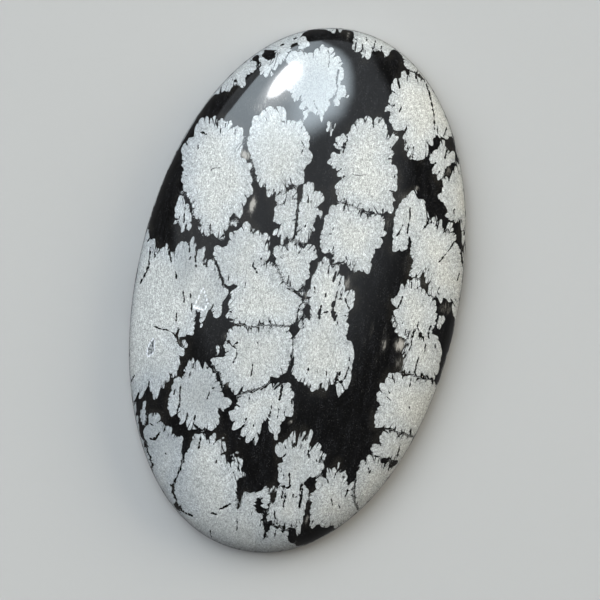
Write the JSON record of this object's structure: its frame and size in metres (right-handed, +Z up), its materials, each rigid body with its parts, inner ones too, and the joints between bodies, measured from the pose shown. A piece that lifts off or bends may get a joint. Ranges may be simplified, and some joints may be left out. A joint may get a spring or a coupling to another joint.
{
  "type": "snowflake obsidian cabochon",
  "caption": "Polished oval stone cabochon, black volcanic glass with pale snowflake markings, domed above and flat on the back, to rest flat or be set in a bezel.",
  "frame": {"origin": "centre of the flat back, which lies on Z = 0", "axes": "+Z up out of the flat back through the top of the dome, +Y along the stone's length, +X across its width"},
  "size_m": [0.0274, 0.045, 0.006],
  "materials": {
    "obsidian": "high polish, black glass with pale grey snowflake markings"
  },
  "bodies": {
    "root": {"cabochon": "obsidian"}
  },
  "joints": []
}
